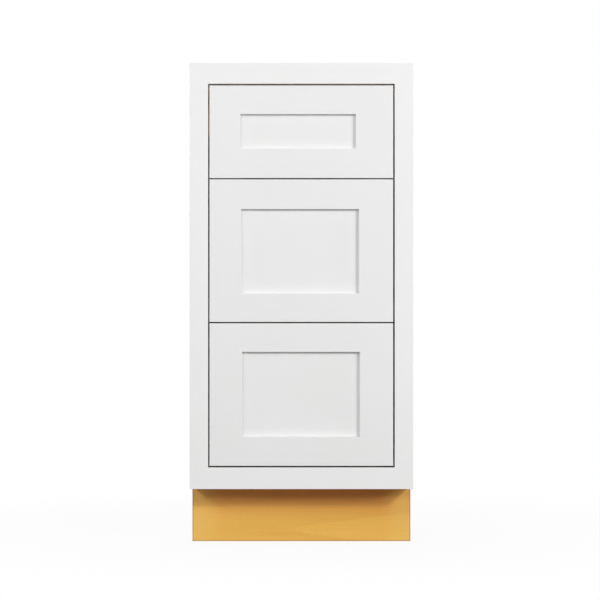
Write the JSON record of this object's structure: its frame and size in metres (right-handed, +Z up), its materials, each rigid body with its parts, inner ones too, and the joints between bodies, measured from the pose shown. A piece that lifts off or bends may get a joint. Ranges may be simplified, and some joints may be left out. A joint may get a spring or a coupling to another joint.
{
  "type": "base cabinet with drawers",
  "caption": "Face-framed base cabinet with inset recessed-panel drawers on full-extension undermount slides, over a recessed toe kick.",
  "frame": {"origin": "on the floor, under the middle of the cabinet's width and depth", "axes": "+Z up, -Y out of the front, so the drawers open along -Y; +X to the right of a person who faces the front"},
  "size_m": [0.406, 0.61, 0.876],
  "materials": {
    "white_paint": "satin sprayed white paint over hardwood",
    "white_faced_ply": "maple plywood, white outside and clear lacquered inside",
    "maple_ply": "clear lacquered maple plywood",
    "maple_solid": "clear lacquered solid maple",
    "toe_kick_maple": "clear lacquered golden maple plywood",
    "slide_steel": "bright zinc-plated sheet steel",
    "screw_steel": "zinc-plated steel",
    "clip_plastic": "moulded dark grey nylon",
    "lever_plastic": "moulded grey acetal",
    "damper_plastic": "moulded light grey nylon"
  },
  "bodies": {
    "cabinet": {"left_side_panel": "white_faced_ply", "right_side_panel": "white_faced_ply", "bottom_panel": "maple_ply", "back_panel": "maple_ply", "top_hanging_rail": "maple_ply", "bottom_hanging_rail": "maple_ply", "front_stretcher": "maple_ply", "rear_stretcher": "maple_ply", "toe_kick_board": "toe_kick_maple", "face_frame_left_stile": "white_paint", "face_frame_right_stile": "white_paint", "face_frame_top_rail": "white_paint", "face_frame_bottom_rail": "white_paint", "slide_spacers": "maple_ply", "cabinet_slide_rails": "slide_steel", "soft_close_dampers": "damper_plastic", "slide_screws": "screw_steel", "spacer_screws": "screw_steel"},
    "top_drawer": {"top_front_stiles": "white_paint", "top_front_rails": "white_paint", "top_front_panel": "white_paint", "top_box_left_side": "maple_solid", "top_box_right_side": "maple_solid", "top_box_front": "maple_solid", "top_box_back": "maple_solid", "top_box_bottom": "maple_ply", "top_drawer_rails": "slide_steel", "top_release_clips": "clip_plastic", "top_drawer_screws": "screw_steel"},
    "top_carriages": {"top_slide_carriages": "slide_steel"},
    "top_left_lever": {"top_left_release_lever": "lever_plastic"},
    "top_right_lever": {"top_right_release_lever": "lever_plastic"},
    "middle_drawer": {"middle_front_stiles": "white_paint", "middle_front_rails": "white_paint", "middle_front_panel": "white_paint", "middle_box_left_side": "maple_solid", "middle_box_right_side": "maple_solid", "middle_box_front": "maple_solid", "middle_box_back": "maple_solid", "middle_box_bottom": "maple_ply", "middle_drawer_rails": "slide_steel", "middle_release_clips": "clip_plastic", "middle_drawer_screws": "screw_steel"},
    "middle_carriages": {"middle_slide_carriages": "slide_steel"},
    "middle_left_lever": {"middle_left_release_lever": "lever_plastic"},
    "middle_right_lever": {"middle_right_release_lever": "lever_plastic"},
    "bottom_drawer": {"bottom_front_stiles": "white_paint", "bottom_front_rails": "white_paint", "bottom_front_panel": "white_paint", "bottom_box_left_side": "maple_solid", "bottom_box_right_side": "maple_solid", "bottom_box_front": "maple_solid", "bottom_box_back": "maple_solid", "bottom_box_bottom": "maple_ply", "bottom_drawer_rails": "slide_steel", "bottom_release_clips": "clip_plastic", "bottom_drawer_screws": "screw_steel"},
    "bottom_carriages": {"bottom_slide_carriages": "slide_steel"},
    "bottom_left_lever": {"bottom_left_release_lever": "lever_plastic"},
    "bottom_right_lever": {"bottom_right_release_lever": "lever_plastic"}
  },
  "joints": [
    {"name": "top_drawer_slide", "type": "slide", "parent": "cabinet", "child": "top_drawer", "axis": [0, -1, 0], "range_m": [0, 0.51]},
    {"name": "top_carriage_slide", "type": "slide", "parent": "cabinet", "child": "top_carriages", "axis": [0, -1, 0], "range_m": [0, 0.255]},
    {"name": "top_left_lever_pivot", "type": "hinge", "parent": "top_drawer", "child": "top_left_lever", "pos_m": [-0.1025, -0.211, 0.6857], "axis": [0, 0, 1], "range_deg": [0, 8], "stiffness_Nm_per_rad": 0.05},
    {"name": "top_right_lever_pivot", "type": "hinge", "parent": "top_drawer", "child": "top_right_lever", "pos_m": [0.1025, -0.211, 0.6857], "axis": [0, 0, -1], "range_deg": [0, 8], "stiffness_Nm_per_rad": 0.05},
    {"name": "middle_drawer_slide", "type": "slide", "parent": "cabinet", "child": "middle_drawer", "axis": [0, -1, 0], "range_m": [0, 0.51]},
    {"name": "middle_carriage_slide", "type": "slide", "parent": "cabinet", "child": "middle_carriages", "axis": [0, -1, 0], "range_m": [0, 0.255]},
    {"name": "middle_left_lever_pivot", "type": "hinge", "parent": "middle_drawer", "child": "middle_left_lever", "pos_m": [-0.1025, -0.211, 0.42435], "axis": [0, 0, 1], "range_deg": [0, 8], "stiffness_Nm_per_rad": 0.05},
    {"name": "middle_right_lever_pivot", "type": "hinge", "parent": "middle_drawer", "child": "middle_right_lever", "pos_m": [0.1025, -0.211, 0.42435], "axis": [0, 0, -1], "range_deg": [0, 8], "stiffness_Nm_per_rad": 0.05},
    {"name": "bottom_drawer_slide", "type": "slide", "parent": "cabinet", "child": "bottom_drawer", "axis": [0, -1, 0], "range_m": [0, 0.51]},
    {"name": "bottom_carriage_slide", "type": "slide", "parent": "cabinet", "child": "bottom_carriages", "axis": [0, -1, 0], "range_m": [0, 0.255]},
    {"name": "bottom_left_lever_pivot", "type": "hinge", "parent": "bottom_drawer", "child": "bottom_left_lever", "pos_m": [-0.1025, -0.211, 0.1624], "axis": [0, 0, 1], "range_deg": [0, 8], "stiffness_Nm_per_rad": 0.05},
    {"name": "bottom_right_lever_pivot", "type": "hinge", "parent": "bottom_drawer", "child": "bottom_right_lever", "pos_m": [0.1025, -0.211, 0.1624], "axis": [0, 0, -1], "range_deg": [0, 8], "stiffness_Nm_per_rad": 0.05}
  ],
  "couplings": [
    {"joint": "top_carriage_slide", "follows": "top_drawer_slide", "ratio": 0.5},
    {"joint": "middle_carriage_slide", "follows": "middle_drawer_slide", "ratio": 0.5},
    {"joint": "bottom_carriage_slide", "follows": "bottom_drawer_slide", "ratio": 0.5}
  ]
}
